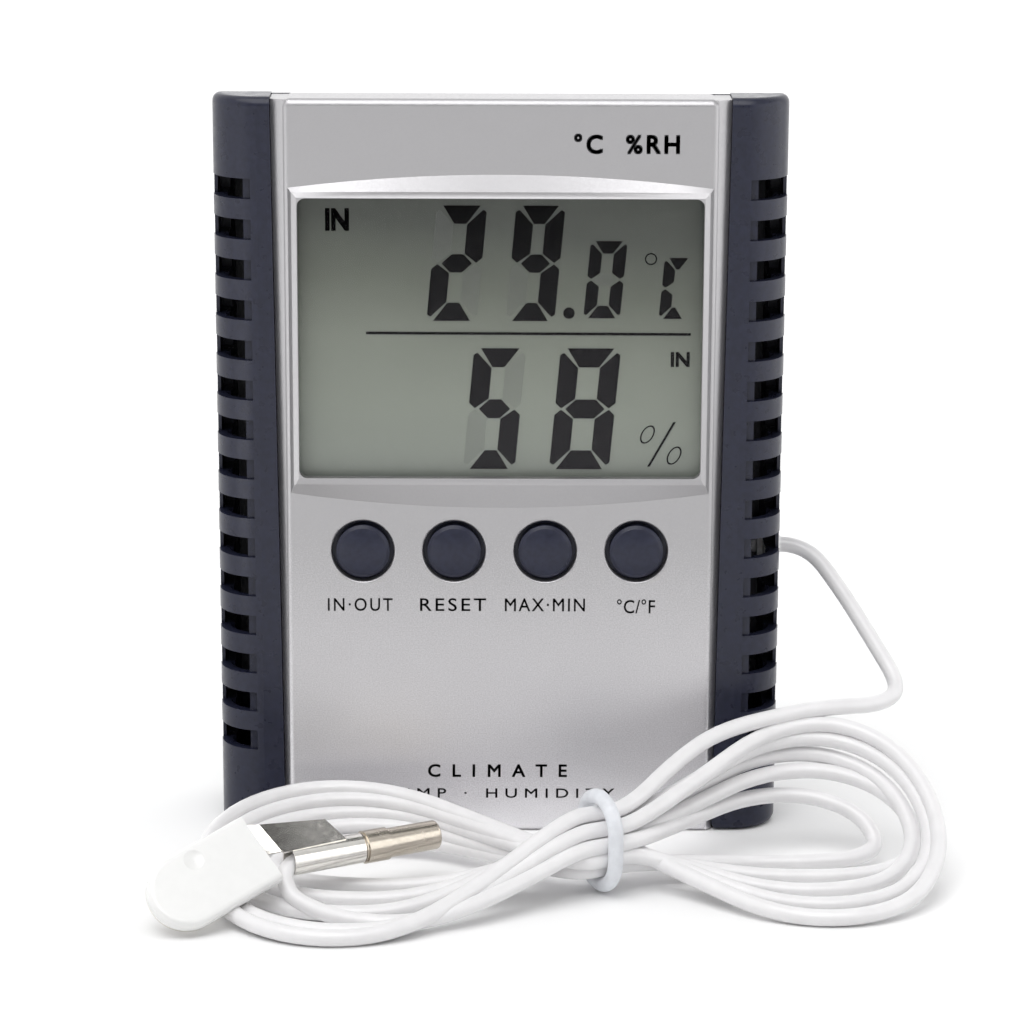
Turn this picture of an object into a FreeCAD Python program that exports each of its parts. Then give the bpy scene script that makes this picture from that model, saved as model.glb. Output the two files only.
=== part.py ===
"""Indoor and outdoor max-min thermometer and hygrometer with a wired clip-on probe.

Millimetres. The front faces -Y, +Z is up, and the origin is under the middle of the case,
on the surface that it stands on.
"""
import FreeCAD, Part
import math
import os
import re
import Sketcher
from FreeCAD import Placement, Rotation, Vector

os.makedirs("parts", exist_ok=True)
doc = FreeCAD.newDocument("Thermometer")

# ---------------------------------------------------------------- driving dimensions
DRIVING = {
    # case
    "body_width": 84.6,
    "body_height": 111.7,
    "body_depth": 24,
    "bezel_rise": 1.0,
    "front_depth": 7,
    "panel_width": 63.8,
    "panel_height": 111.5,
    "groove_depth": 1.2,
    "cover_wall": 1.6,
    "face_wall": 1.8,
    "rear_width": 84.4,
    "rear_skin": 0.5,
    "rear_wall": 2.0,
    "rear_height": 111.5,
    "top_fall": 0.25,
    "top_round": 8,
    "foot_round": 5,
    "side_round": 4.5,
    # display
    "window_width": 59.4,
    "window_height": 41.8,
    "window_middle": 76.25,
    "glass_front": -9.2,
    "glass_thick": 2.2,
    "board_front": -4.6,
    "board_thick": 1.2,
    # buttons
    "button_pitch": 13.6,
    "button_level": 43.95,
    "button_hole": 9.3,
    "button_dia": 8.0,
    "button_travel": 0.8,
    # grilles
    "strip_inner": 32.4,
    "strip_lean": 1.2,
    "strip_round": 6.8,
    "strip_wall": 1.5,
    "slot_inner": 36.5,
    "slot_ledge": 1.1,
    "slot_reach": 5,
    "slot_height": 3.0,
    "slot_pitch": 6.0,
    "slot_first": 12.8,
    "slot_count": 15,
    # rear fittings
    "stand_half": 18.2,
    "stand_foot": 6.6,
    "stand_pivot": 63.5,
    "stand_depth": 10.6,
    "stand_thick": 2.6,
    "cell_dia": 10.4,
    "cell_level": 78,
    "cell_depth": 4.8,
    "door_pivot": 83.4,
    "door_depth": 10.9,
    "door_thick": 1.8,
    "door_half": 25.7,
    "screw_side": 27,
    "screw_low": 9,
    "screw_high": 104.5,
    "keyhole_level": 92.5,
    "keyhole_head": 4.0,
    "keyhole_slot": 2.0,
    # cord
    "cable_level": 41.2,
    "cable_depth": 4.5,
    "cable_dia": 2.4,
    "tie_wire": 2.2,
    "tie_round": 4.8,
    "tie_straight": 3.4,
    # probe and clip
    "probe_start": 4.0,
    "probe_end": 24.0,
    "probe_dia": 4.3,
    "barrel_end": 11.6,
    "barrel_dia": 4.4,
    "sheet": 0.35,
    "tongue_half": 5.5,
    "tongue_round": 13.0,
    "pin_back": -1.2,
    "pin_drop": -1.9,
    "pin_dia": 0.9,
}

sheet = doc.addObject("Spreadsheet::Sheet", "Sizes")
for row, (alias, value) in enumerate(DRIVING.items(), start=1):
    sheet.set(f"A{row}", alias)
    sheet.set(f"B{row}", str(value))
    sheet.setAlias(f"B{row}", alias)
doc.recompute()


def cell(expression):
    """Puts the sheet's name before each alias in an expression."""
    return re.sub("[a-z_]+", lambda word: prefixed(word.group()), str(expression))


def prefixed(word):
    return "Sizes." + word if word in DRIVING else word


def bind(thing, **places):
    """Binds properties to expressions over the sheet."""
    for name, expression in places.items():
        thing.setExpression(name.replace("__", "."), cell(expression))


# ---------------------------------------------------------------- makers
nodes = {}


def node(thing, name):
    """Names a finished sub-part; its shape is written to the file of that name."""
    thing.Label = name
    nodes[name] = thing
    return thing


def box(name, corner, spans):
    """A block from its lowest corner and its three lengths, each a number or an expression."""
    block = doc.addObject("Part::Box", name)
    bind(block, Length=spans[0], Width=spans[1], Height=spans[2])
    bind(block, Placement__Base__x=corner[0], Placement__Base__y=corner[1], Placement__Base__z=corner[2])
    return block


TURNS = {
    "x": Rotation(Vector(0, 1, 0), 90),
    "y": Rotation(Vector(1, 0, 0), -90),
    "z": Rotation(),
}


def rod(name, axis, start, radius, length):
    """A cylinder that starts at a point and runs along +X, +Y or +Z."""
    bar = doc.addObject("Part::Cylinder", name)
    bar.Placement = Placement(Vector(), TURNS[axis])
    bind(bar, Radius=radius, Height=length)
    bind(bar, Placement__Base__x=start[0], Placement__Base__y=start[1], Placement__Base__z=start[2])
    return bar


def fuse(name, *pieces):
    """One solid from several that meet."""
    joined = doc.addObject("Part::MultiFuse", name)
    joined.Shapes = list(pieces)
    joined.Refine = True
    return joined


def cut(name, base, *tools):
    """A solid less its tools."""
    tool = tools[0] if len(tools) == 1 else fuse(name + "_tools", *tools)
    rest = doc.addObject("Part::Cut", name)
    rest.Base = base
    rest.Tool = tool
    rest.Refine = True
    return rest


def common(name, *pieces):
    """What all the pieces share."""
    shared = doc.addObject("Part::MultiCommon", name)
    shared.Shapes = list(pieces)
    return shared


def group(name, solids):
    """Identical small pieces that share one node."""
    gathered = doc.addObject("Part::Compound", name)
    gathered.Links = solids
    return gathered


def fixed_solid(name, shape, place=Placement()):
    """A sub-part whose shape is worked out here."""
    feature = doc.addObject("Part::Feature", name)
    feature.Shape = shape
    feature.Placement = place
    return feature


def body(name):
    return doc.addObject("PartDesign::Body", name)


def plane(owner, role):
    return next(item for item in owner.Origin.OriginFeatures if item.Role == role)


def sketch(owner, role, name, offset=0):
    """A sketch on one of the body's own planes, moved along the plane's normal."""
    drawing = owner.newObject("Sketcher::SketchObject", name)
    drawing.AttachmentSupport = (plane(owner, role), [""])
    drawing.MapMode = "FlatFace"
    drawing.setExpression("AttachmentOffset.Base.z", cell(offset))
    return drawing


def outline(drawing, points, label):
    """A closed outline of straight lines, each corner held by two bound distances from the origin."""
    rough = [Vector(*[evaluate(value) for value in point], 0) for point in points]
    first = drawing.GeometryCount
    count = len(points)
    for index in range(count):
        drawing.addGeometry(Part.LineSegment(rough[index], rough[(index + 1) % count]), False)
    for index in range(count):
        follower = first + (index + 1) % count
        drawing.addConstraint(Sketcher.Constraint("Coincident", first + index, 2, follower, 1))
    for index, point in enumerate(points):
        for kind, value, near in (("X", point[0], rough[index].x), ("Y", point[1], rough[index].y)):
            rule = Sketcher.Constraint("Distance" + kind, -1, 1, first + index, 1, near)
            number = drawing.addConstraint(rule)
            title = f"{label}{index}{kind}"
            drawing.renameConstraint(number, title)
            drawing.setExpression("Constraints." + title, cell(value))


def evaluate(expression):
    """The value that a number or an expression over the sheet has now."""
    return float(sheet.evalExpression(cell(expression)))


def rectangle(drawing, left, low, right, high, label="r"):
    outline(drawing, [(left, low), (right, low), (right, high), (left, high)], label)


def circle(drawing, across, up, radius, label="c"):
    """A circle whose centre and radius are bound."""
    centre = Vector(evaluate(across), evaluate(up), 0)
    number = drawing.addGeometry(Part.Circle(centre, Vector(0, 0, 1), evaluate(radius)), False)
    rules = (
        ("X", Sketcher.Constraint("DistanceX", -1, 1, number, 3, centre.x), across),
        ("Y", Sketcher.Constraint("DistanceY", -1, 1, number, 3, centre.y), up),
        ("R", Sketcher.Constraint("Radius", number, evaluate(radius)), radius),
    )
    for kind, rule, value in rules:
        place = drawing.addConstraint(rule)
        drawing.renameConstraint(place, label + kind)
        drawing.setExpression(f"Constraints.{label}{kind}", cell(value))


def pad(owner, drawing, name, length, backwards=False):
    feature = owner.newObject("PartDesign::Pad", name)
    feature.Profile = drawing
    feature.Reversed = backwards
    bind(feature, Length=length)
    doc.recompute()
    return feature


def pocket(owner, drawing, name, length, backwards=False, midplane=False):
    """A pocket that has to take material away."""
    before = owner.Tip.Shape.Volume
    feature = owner.newObject("PartDesign::Pocket", name)
    feature.Profile = drawing
    feature.Reversed = backwards
    feature.Midplane = midplane
    bind(feature, Length=length)
    doc.recompute()
    if not feature.Shape.Volume < before - 1e-6:
        raise RuntimeError(f"{name} cuts nothing")
    return feature


def soften(owner, name, radius, wanted, kind="Fillet", measure="Radius"):
    """Fillets or chamfers the edges of the body's tip that a test picks."""
    doc.recompute()
    tip = owner.Tip
    picked = [f"Edge{n}" for n, edge in enumerate(tip.Shape.Edges, start=1) if wanted(edge)]
    if not picked:
        raise RuntimeError(f"{name} has no edges")
    feature = owner.newObject("PartDesign::" + kind, name)
    feature.Base = (tip, picked)
    bind(feature, **{measure: radius})
    doc.recompute()
    return feature


# ---------------------------------------------------------------- front shell
SEAM = "(-body_depth / 2 + bezel_rise + front_depth)"
PANEL = "(-body_depth / 2 + bezel_rise)"
LIP = "(-body_depth / 2)"
BACK = "(body_depth / 2)"
INNER_FACE = f"({PANEL} + face_wall)"


def out(level):
    """A level in Y as an offset along the XZ plane's normal, which points to -Y."""
    return f"-1 * {level}"


def front_cover():
    """Silver shell: flat panel, raised frame round the window, four button holes, screw pillars."""
    shell = body("front_shell")
    face = sketch(shell, "XZ_Plane", "panel_outline", out(SEAM))
    rectangle(face, "-panel_width / 2", 0, "panel_width / 2", "panel_height")
    pad(shell, face, "panel", "front_depth")
    soften(shell, "corners", 1.3, lambda edge: runs(edge, "y"))
    front = evaluate(PANEL)
    soften(shell, "front_roll", 1.0, lambda edge: lies_at(edge, "y", front))

    hollow = sketch(shell, "XZ_Plane", "hollow_outline", out(SEAM))
    side = "panel_width / 2 - cover_wall"
    rectangle(hollow, f"-({side})", "cover_wall", side, "panel_height - cover_wall")
    pocket(shell, hollow, "hollow", "front_depth - face_wall", backwards=True)

    frame_round_window(shell)

    rebate = sketch(shell, "XZ_Plane", "lens_seat", out(INNER_FACE))
    window(rebate, 0.9)
    pocket(shell, rebate, "lens_rebate", 1.3, backwards=True)
    opening = sketch(shell, "XZ_Plane", "window_outline", out(LIP))
    window(opening, 0)
    pocket(shell, opening, "window_opening", 3)
    half = evaluate("window_width / 2")
    soften(shell, "window_corners", 1.2, lambda edge: runs(edge, "y") and near(abs(middle(edge).x), half))

    holes = sketch(shell, "XZ_Plane", "button_holes", out(PANEL))
    for index in range(4):
        circle(holes, f"button_pitch * {index - 1.5}", "button_level", "button_hole / 2", f"hole{index}")
    pocket(shell, holes, "button_openings", "face_wall + 0.2")
    soften(shell, "hole_edges", 0.35, lambda edge: lies_at(edge, "y", front) and is_round(edge, "button_hole / 2"))

    for side, word in ((-1, "left"), (1, "right")):
        side_slope(shell, side, word)

    pillars = sketch(shell, "XZ_Plane", "pillar_outline", out("board_front"))
    for index, (across, up) in enumerate(BOARD_SCREWS):
        circle(pillars, across, up, 2.2, f"pillar{index}")
    pad(shell, pillars, "board_pillars", f"board_front - {INNER_FACE} + 0.3")
    bosses = sketch(shell, "XZ_Plane", "boss_outline", out(SEAM))
    for index, (across, up) in enumerate(CASE_SCREWS):
        circle(bosses, across, up, 2.7, f"boss{index}")
    pad(shell, bosses, "case_bosses", f"{SEAM} - {INNER_FACE} + 0.3")
    pilots = sketch(shell, "XZ_Plane", "pilot_outline", out(SEAM))
    for index, (across, up) in enumerate(CASE_SCREWS):
        circle(pilots, across, up, 1.2, f"case{index}")
    pocket(shell, pilots, "case_pilots", 5, backwards=True)
    drilled = sketch(shell, "XZ_Plane", "board_pilot_outline", out("board_front"))
    for index, (across, up) in enumerate(BOARD_SCREWS):
        circle(drilled, across, up, 0.95, f"board{index}")
    pocket(shell, drilled, "board_pilots", 4, backwards=True)
    return node(shell, "front_cover")


def side_slope(shell, side, word):
    """The panel's side, sloping back to the strip beside it; it widens towards the top."""
    root, crest = f"{side} * (panel_width / 2 - 1.2)", f"{side} * (panel_width / 2 - 0.31)"
    ends = []
    for end, level, lean in (("low", 0.2, "0"), ("high", "panel_height - 0.1", "strip_lean * 0.99")):
        section = sketch(shell, "XY_Plane", f"{word}_slope_{end}", level)
        foot = f"{side} * (strip_inner - 0.05 + {lean})"
        outline(
            section,
            [(root, SEAM), (foot, SEAM), (foot, f"{PANEL} + groove_depth"), (crest, f"{PANEL} + 0.31"),
             (root, f"{PANEL} + 0.6")],
            end,
        )
        ends.append(section)
    doc.recompute()
    slope = shell.newObject("PartDesign::AdditiveLoft", f"{word}_slope")
    slope.Profile = ends[0]
    slope.Sections = [ends[1]]
    slope.Ruled = True
    doc.recompute()


CASE_SCREWS = [(f"{side} * screw_side", level) for side in (-1, 1) for level in ("screw_low", "screw_high")]
BOARD_SCREWS = [(-26, 34), (26, 34), (-22, 100.2), (22, 100.2)]


def window(drawing, margin):
    """The window's rectangle, wider by a margin on each side."""
    side = f"(window_width / 2 + {margin})"
    rise = f"(window_height / 2 + {margin})"
    rectangle(drawing, f"-{side}", f"window_middle - {rise}", side, f"window_middle + {rise}")


def frame_round_window(shell):
    """Raised frame: a frustum from a barrel-shaped foot on the panel to a rectangle round the window."""
    foot = sketch(shell, "XZ_Plane", "frame_foot", out(PANEL))
    half = evaluate("window_width / 2") + 1.35
    middle_level = evaluate("window_middle")
    top, crown = middle_level + 22.3, middle_level + 24.3
    base, belly = middle_level - 23.4, middle_level - 25.6
    corners = [Vector(-half, base, 0), Vector(half, base, 0), Vector(half, top, 0), Vector(-half, top, 0)]
    foot.addGeometry(Part.Arc(corners[0], Vector(0, belly, 0), corners[1]), False)
    foot.addGeometry(Part.LineSegment(corners[1], corners[2]), False)
    foot.addGeometry(Part.Arc(corners[2], Vector(0, crown, 0), corners[3]), False)
    foot.addGeometry(Part.LineSegment(corners[3], corners[0]), False)
    rim = sketch(shell, "XZ_Plane", "frame_rim", out(LIP))
    window(rim, 0.55)
    loft = shell.newObject("PartDesign::AdditiveLoft", "window_frame")
    loft.Profile = foot
    loft.Sections = [rim]
    loft.Ruled = True
    doc.recompute()
    lip = evaluate(LIP)
    soften(shell, "frame_lip", 0.45, lambda edge: lies_at(edge, "y", lip), "Chamfer", "Size")


# ---------------------------------------------------------------- edge tests
def middle(edge):
    return edge.CenterOfMass


def near(value, wanted):
    return abs(value - wanted) < 0.01


def lies_at(edge, axis, level):
    """The whole edge is at one level of an axis."""
    limits = edge.BoundBox
    low = getattr(limits, axis.upper() + "Min")
    high = getattr(limits, axis.upper() + "Max")
    return near(low, level) and near(high, level)


def runs(edge, axis):
    """The edge is a straight line along an axis."""
    if not isinstance(edge.Curve, Part.Line):
        return False
    return near(abs(getattr(edge.Curve.Direction, axis)), 1)


def is_round(edge, radius):
    return isinstance(edge.Curve, Part.Circle) and near(edge.Curve.Radius, evaluate(radius))


# ---------------------------------------------------------------- side grilles
def grille(name, side):
    """Hollow strip beside the panel with a rounded outer side and a ladder of air slots."""
    strip = body(name + "_strip")
    section = sketch(strip, "XY_Plane", name + "_section")
    strip_section(section, side, 0)
    pad(strip, section, name + "_pad", "body_height")
    seam = evaluate(SEAM)
    ends = (0, evaluate("body_height"))
    soften(
        strip, name + "_ends", 1.3,
        lambda edge: any(lies_at(edge, "z", level) for level in ends) and not lies_at(edge, "y", seam),
    )

    inside = sketch(strip, "XY_Plane", name + "_inside", "strip_wall")
    strip_section(inside, side, evaluate("strip_wall"))
    pocket(strip, inside, name + "_hollow", "body_height - 2 * strip_wall", backwards=True)

    lean = sketch(strip, "XZ_Plane", name + "_lean_outline", 30)
    edge = f"{side} * strip_inner"
    outline(
        lean,
        [(edge, 0), (f"{edge} + {side} * strip_lean", "body_height"), (edge, "body_height")],
        "lean",
    )
    pocket(strip, lean, name + "_lean", 40)

    slot = sketch(strip, "XY_Plane", name + "_slot_outline", "slot_first")
    inner, outer = f"{side} * slot_inner", f"{side} * body_width"
    ledge = f"{side} * (slot_inner + slot_ledge)"
    sunk = f"{SEAM} - strip_round + strip_wall / 2"
    outline(
        slot,
        [(inner, -20), (outer, -20), (outer, f"{SEAM} + 1"), (ledge, f"{SEAM} + 1"), (ledge, sunk), (inner, sunk)],
        "slot",
    )
    first = pocket(strip, slot, name + "_slot", "slot_height", backwards=True)
    ladder = strip.newObject("PartDesign::LinearPattern", name + "_slots")
    ladder.Originals = [first]
    ladder.Direction = (plane(strip, "Z_Axis"), [""])
    bind(ladder, Length="slot_pitch * (slot_count - 1)", Occurrences="slot_count")
    strip.Tip = ladder
    doc.recompute()
    return node(strip, name)


def strip_section(drawing, side, inset):
    """Plan of a grille: square at the panel, round at the outside, drawn one wall in for the hollow."""
    radius = evaluate("strip_round")
    seam = evaluate(SEAM)
    outer = evaluate("body_width / 2")
    centre = Vector(side * (outer - radius), seam, 0)
    reach = radius - inset
    inner = side * (evaluate("strip_inner") + (inset + 1.2 if inset else 0))
    front = seam - reach
    diagonal = centre + Vector(side * reach * math.sin(math.pi / 4), -reach * math.cos(math.pi / 4), 0)
    corners = [
        Vector(inner, seam, 0),
        Vector(inner, front, 0),
        Vector(centre.x, front, 0),
        Vector(side * (outer - inset), seam, 0),
    ]
    drawing.addGeometry(Part.LineSegment(corners[0], corners[1]), False)
    drawing.addGeometry(Part.LineSegment(corners[1], corners[2]), False)
    drawing.addGeometry(Part.Arc(corners[2], diagonal, corners[3]), False)
    drawing.addGeometry(Part.LineSegment(corners[3], corners[0]), False)


# ---------------------------------------------------------------- back shell
def side_profile(drawing, inset):
    """Side view of the back shell: its top falls gently to a big round, with a smaller one at the foot."""
    seam = evaluate(SEAM)
    back = evaluate(BACK) - inset
    low = inset
    top, foot = evaluate("top_round") - inset, evaluate("foot_round") - inset
    fall = math.atan(evaluate("top_fall"))
    high = evaluate("rear_height") - inset / math.cos(fall)
    corner = high - (back - seam) * math.tan(fall)
    turn = math.pi / 2 - fall
    trim = top * math.tan(turn / 2)
    start = Vector(back - trim * math.cos(fall), corner + trim * math.sin(fall), 0)
    round_middle = Vector(
        back - top + top * math.cos(turn / 2), corner - trim + top * math.sin(turn / 2), 0
    )
    end = Vector(back, corner - trim, 0)
    bend = 1 - math.sqrt(0.5)
    foot_start = Vector(back, low + foot, 0)
    foot_middle = Vector(back - foot * bend, low + foot * bend, 0)
    foot_end = Vector(back - foot, low, 0)
    upper, lower = Vector(seam, high, 0), Vector(seam, low, 0)
    drawing.addGeometry(Part.LineSegment(upper, start), False)
    drawing.addGeometry(Part.Arc(start, round_middle, end), False)
    drawing.addGeometry(Part.LineSegment(end, foot_start), False)
    drawing.addGeometry(Part.Arc(foot_start, foot_middle, foot_end), False)
    drawing.addGeometry(Part.LineSegment(foot_end, lower), False)
    drawing.addGeometry(Part.LineSegment(lower, upper), False)


def rear_body(name):
    """The back shell's outer block, rounded along its back edges."""
    shell = body(name)
    profile = sketch(shell, "YZ_Plane", name + "_profile")
    side_profile(profile, 0)
    block = pad(shell, profile, name + "_block", "rear_width")
    block.Midplane = True
    doc.recompute()
    seam = evaluate(SEAM)
    half = evaluate("rear_width / 2")
    soften(
        shell, name + "_sides", "side_round",
        lambda edge: near(abs(middle(edge).x), half) and not lies_at(edge, "y", seam) and behind(edge),
    )
    return shell


def back_cover():
    """Rear shell with the battery bay, the stand's well, screw bosses, keyhole and cable hole."""
    shell = rear_body("rear_shell")
    inside = sketch(shell, "YZ_Plane", "rear_inside")
    side_profile(inside, evaluate("rear_wall"))
    pocket(shell, inside, "rear_hollow", "rear_width - 2 * rear_wall", midplane=True)

    bay = box("bay_block", ("-27.2", "-1.7", "cell_level - 7.4"), (54.4, "body_depth / 2 + 0.7", 15.2))
    well = box("well_block", ("-stand_half - 2.4", 7.2, 1), ("2 * stand_half + 4.8", 4, "stand_pivot + 3"))
    bosses = [
        rod(f"rear_boss{index}", "y", (across, SEAM, up), 3.2, 15)
        for index, (across, up) in enumerate(CASE_SCREWS)
    ]
    envelope = rear_body("rear_envelope")
    solid = fuse("rear_solid", shell, common("rear_inner", envelope, fuse("rear_ribs", bay, well, *bosses)))

    tools = [
        box("bay_hollow", (-25, -0.5, "cell_level - 5.6"), (50, 14, 11.2)),
        box("door_opening", ("-door_half - 0.25", 9.9, "cell_level - 6.15"),
            ("2 * door_half + 0.5", 4, "door_pivot + 1.15 - cell_level + 6.15")),
        rod("door_pin_holes", "x", ("-door_half - 1.3", "door_depth", "door_pivot"), 0.68, "2 * door_half + 2.6"),
        box("latch_notch", (-3.2, 9.9, "cell_level - 6.9"), (6.4, 1.0, 1.2)),
        box("stand_well", ("-stand_half - 0.4", 9, "stand_foot - 0.6"),
            ("2 * stand_half + 0.8", 4, "stand_pivot + 1.7 - stand_foot + 0.6")),
        rod("stand_pin_holes", "x", ("-stand_half - 2", "stand_depth", "stand_pivot"), 1.05, "2 * stand_half + 4"),
        rod("finger_scoop", "y", (0, 9, "stand_foot + 1"), 7, 4),
        rod("keyhole_round", "y", (0, 9, "keyhole_level"), "keyhole_head", 4),
        box("keyhole_neck", ("-keyhole_slot", 9, "keyhole_level"), ("2 * keyhole_slot", 4, 5)),
        rod("keyhole_end", "y", (0, 9, "keyhole_level + 5"), "keyhole_slot", 4),
        rod("cable_hole", "x", (38, "cable_depth", "cable_level"), 2.25, 6),
    ]
    for index in range(int(evaluate("slot_count"))):
        level = f"slot_first + {index} * slot_pitch"
        for side, start in (("left", "-rear_width / 2 + rear_skin"), ("right", "rear_width / 2 - rear_wall - 1")):
            tools.append(
                box(f"{side}_slot_end{index}", (start, f"{SEAM} - 1", level),
                    ("rear_wall + 1 - rear_skin", "slot_reach + 1", "slot_height"))
            )
    for index, (across, up) in enumerate(CASE_SCREWS):
        tools.append(rod(f"rear_bore{index}", "y", (across, -5, up), 1.25, 8))
        tools.append(rod(f"rear_sink{index}", "y", (across, -0.6, up), 2.3, 14))
    return node(cut("rear_cover", solid, *tools), "back_cover")


def behind(edge):
    """The edge is behind the shell's middle, where its sides are rounded."""
    return edge.BoundBox.YMax > evaluate(BACK) - evaluate("side_round") - 0.01


# ---------------------------------------------------------------- display and board
def window_lens():
    margin = 0.65
    return node(
        box("lens_plate",
            (f"-window_width / 2 - {margin}", f"{INNER_FACE} - 1.2", f"window_middle - window_height / 2 - {margin}"),
            (f"window_width + {2 * margin}", 1.0, f"window_height + {2 * margin}")),
        "window_lens",
    )


def lcd_glass():
    """Two glass layers; the front one stands out below for the contacts."""
    front = box("front_glass", (-29.8, "glass_front", "window_middle - 21.2"), (59.6, "glass_thick / 2", 42.6))
    rear = box("rear_glass", (-29.8, "glass_front + glass_thick / 2", "window_middle - 18.6"),
               (59.6, "glass_thick / 2", 40))
    return node(fuse("glass_stack", front, rear), "lcd_glass")


def lcd_holder():
    outer = box("holder_outer", (-29.6, "glass_front + glass_thick", "window_middle - 23.2"),
                (59.2, "board_front - glass_front - glass_thick", 44.6))
    inner = box("holder_inner", (-28, -8, "window_middle - 21.4"), (56, 4, 41.2))
    feet = box("holder_channel", (-29.7, -8, "window_middle - 18.8"), (1, 4, 6))
    return node(cut("holder_frame", outer, inner, feet), "lcd_holder")


def zebra_strip():
    """Elastomer contact strip, squeezed between the glass ledge and the board."""
    strip = box("zebra_block", (-27.5, "glass_front + glass_thick / 2", "window_middle - 21"),
                (55, "board_front - glass_front - glass_thick / 2", 2))
    return node(strip, "zebra_strip")


def main_pcb():
    plate = box("board_plate", (-28, "board_front", 30.5), (56, "board_thick", 72))
    holes = [
        rod(f"board_hole{index}", "y", (across, "board_front - 1", up), 1.1, "board_thick + 2")
        for index, (across, up) in enumerate(BOARD_SCREWS)
    ]
    corners = [
        box(f"board_notch{index}", (left, "board_front - 1", 99.4), (5, "board_thick + 2", 5))
        for index, left in enumerate((-29, 24))
    ]
    return node(cut("board", plate, *holes, *corners), "main_pcb")


BOARD_BACK = "(board_front + board_thick)"


def main_chip():
    """Black resin blob over the bonded chip: a low dome."""
    reach, rise = 5.5, 1.3
    ball = (reach * reach + rise * rise) / (2 * rise)
    back = evaluate(BOARD_BACK)
    dome = Part.makeSphere(ball, Vector(4, back + rise - ball, 52))
    slab = Part.makeBox(20, 4, 20, Vector(-6, back, 42))
    return node(fixed_solid("chip_blob", dome.common(slab)), "main_chip")


def crystal():
    """Clock crystal: a small can lying on the board with two bent leads."""
    can = rod("crystal_can", "x", (-10, f"{BOARD_BACK} + 1.05", 47), 1.0, 6)
    leads = [
        box(f"crystal_lead{index}", (-12.4, BOARD_BACK, 47 + offset - 0.2), (2.4, 1.2, 0.4))
        for index, offset in enumerate((-0.55, 0.55))
    ]
    return node(fuse("crystal_body", can, *leads), "crystal")


def humidity_sensor():
    """Slotted sensor case on the board's edge, beside the left grille."""
    case = box("humidity_case", (-27.5, BOARD_BACK, 58), (6, 2.6, 11))
    slots = [
        box(f"humidity_slot{index}", (-26.5, f"{BOARD_BACK} + 1.4", 59.5 + 2.2 * index), (4, 2, 1.1))
        for index in range(4)
    ]
    return node(cut("humidity_body", case, *slots), "humidity_sensor")


def inner_thermistor():
    """Indoor temperature bead on two wires, held off the board's edge near the right grille."""
    back = evaluate(BOARD_BACK)
    bead = Part.makeSphere(1.1, Vector(27.6, back + 2.6, 62))
    wires = [
        Part.makeCylinder(0.25, 5.2, Vector(22.5, back + 2.6, 62 + side * 0.5), Vector(1, 0, 0))
        for side in (-1, 1)
    ]
    legs = [
        Part.makeCylinder(0.25, 2.6, Vector(22.6, back, 62 + side * 0.5), Vector(0, 1, 0))
        for side in (-1, 1)
    ]
    whole = bead.multiFuse(wires + legs).removeSplitter()
    return node(fixed_solid("inner_bead", whole), "inner_thermistor")


# ---------------------------------------------------------------- buttons
BUTTONS = ("in_out", "reset", "max_min", "c_f")


def button_place(index):
    return f"button_pitch * {index - 1.5}"


def key_switches():
    """Four low switch bodies on the board, each bored for its plunger."""
    solids = []
    for index in range(4):
        across = button_place(index)
        block = box(f"switch_block{index}", (f"{across} - 3", "board_front - 1.8", "button_level - 3"), (6, 1.8, 6))
        bore = rod(f"switch_bore{index}", "y", (across, "board_front - 2.5", "button_level"), 1.55, 2.4)
        solids.append(cut(f"switch{index}", block, bore))
    return node(group("switches", solids), "key_switches")


def plunger(index, name):
    """Short rod that stops just clear of its switch's floor at the end of the button's travel."""
    start = (button_place(index), "board_front - 3", "button_level")
    return node(rod(f"plunger_rod{index}", "y", start, 1.5, 2.0), "plunger_" + name)


def button(index, name):
    """Round cap with a domed face, a flange behind the panel and a stem on the switch plunger."""
    across = evaluate(button_place(index))
    level = evaluate("button_level")
    cap = body("cap_" + name)
    half = sketch(cap, "YZ_Plane", f"cap_half_{name}")
    radius = evaluate("button_dia / 2")
    panel = evaluate(PANEL)
    crown, shoulder = panel - 0.85, panel - 0.35
    flange_front = evaluate(INNER_FACE) + 0.1
    flange_back = flange_front + 0.8
    stem_end = evaluate("board_front - 3")
    rim = radius - 0.45
    points = [
        (crown, 0), (shoulder - 0.05, rim), (shoulder + 0.4, radius), (flange_front, radius),
        (flange_front, radius + 1.2), (flange_back, radius + 1.2), (flange_back, 1.6), (stem_end, 1.6),
        (stem_end, 0),
    ]
    places = [Vector(y, up, 0) for y, up in points]
    bow = Vector((crown * 3 + shoulder) / 4 - 0.01, rim * 0.55, 0)
    half.addGeometry(Part.Arc(places[0], bow, places[1]), False)
    for start, end in zip(places[1:], places[2:] + places[:1]):
        half.addGeometry(Part.LineSegment(start, end), False)
    turn = cap.newObject("PartDesign::Revolution", f"cap_turn_{name}")
    turn.Profile = half
    turn.ReferenceAxis = (half, ["H_Axis"])
    turn.Angle = 360
    doc.recompute()
    cap.Placement = Placement(Vector(across, 0, level), Rotation())
    return node(cap, "button_" + name)


# ---------------------------------------------------------------- power
def battery():
    radius = "cell_dia / 2"
    can = rod("cell_can", "x", (-20, "cell_depth", "cell_level"), radius, 43.7)
    cap = rod("cell_cap", "x", (23.7, "cell_depth", "cell_level"), 1.9, 0.8)
    return node(fuse("cell_whole", can, cap), "battery")


def battery_contact():
    plate = box("contact_plate", (24.5, "cell_depth - 4.5", "cell_level - 4.5"), (0.4, 9, 9))
    return node(plate, "battery_contact")


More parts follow.
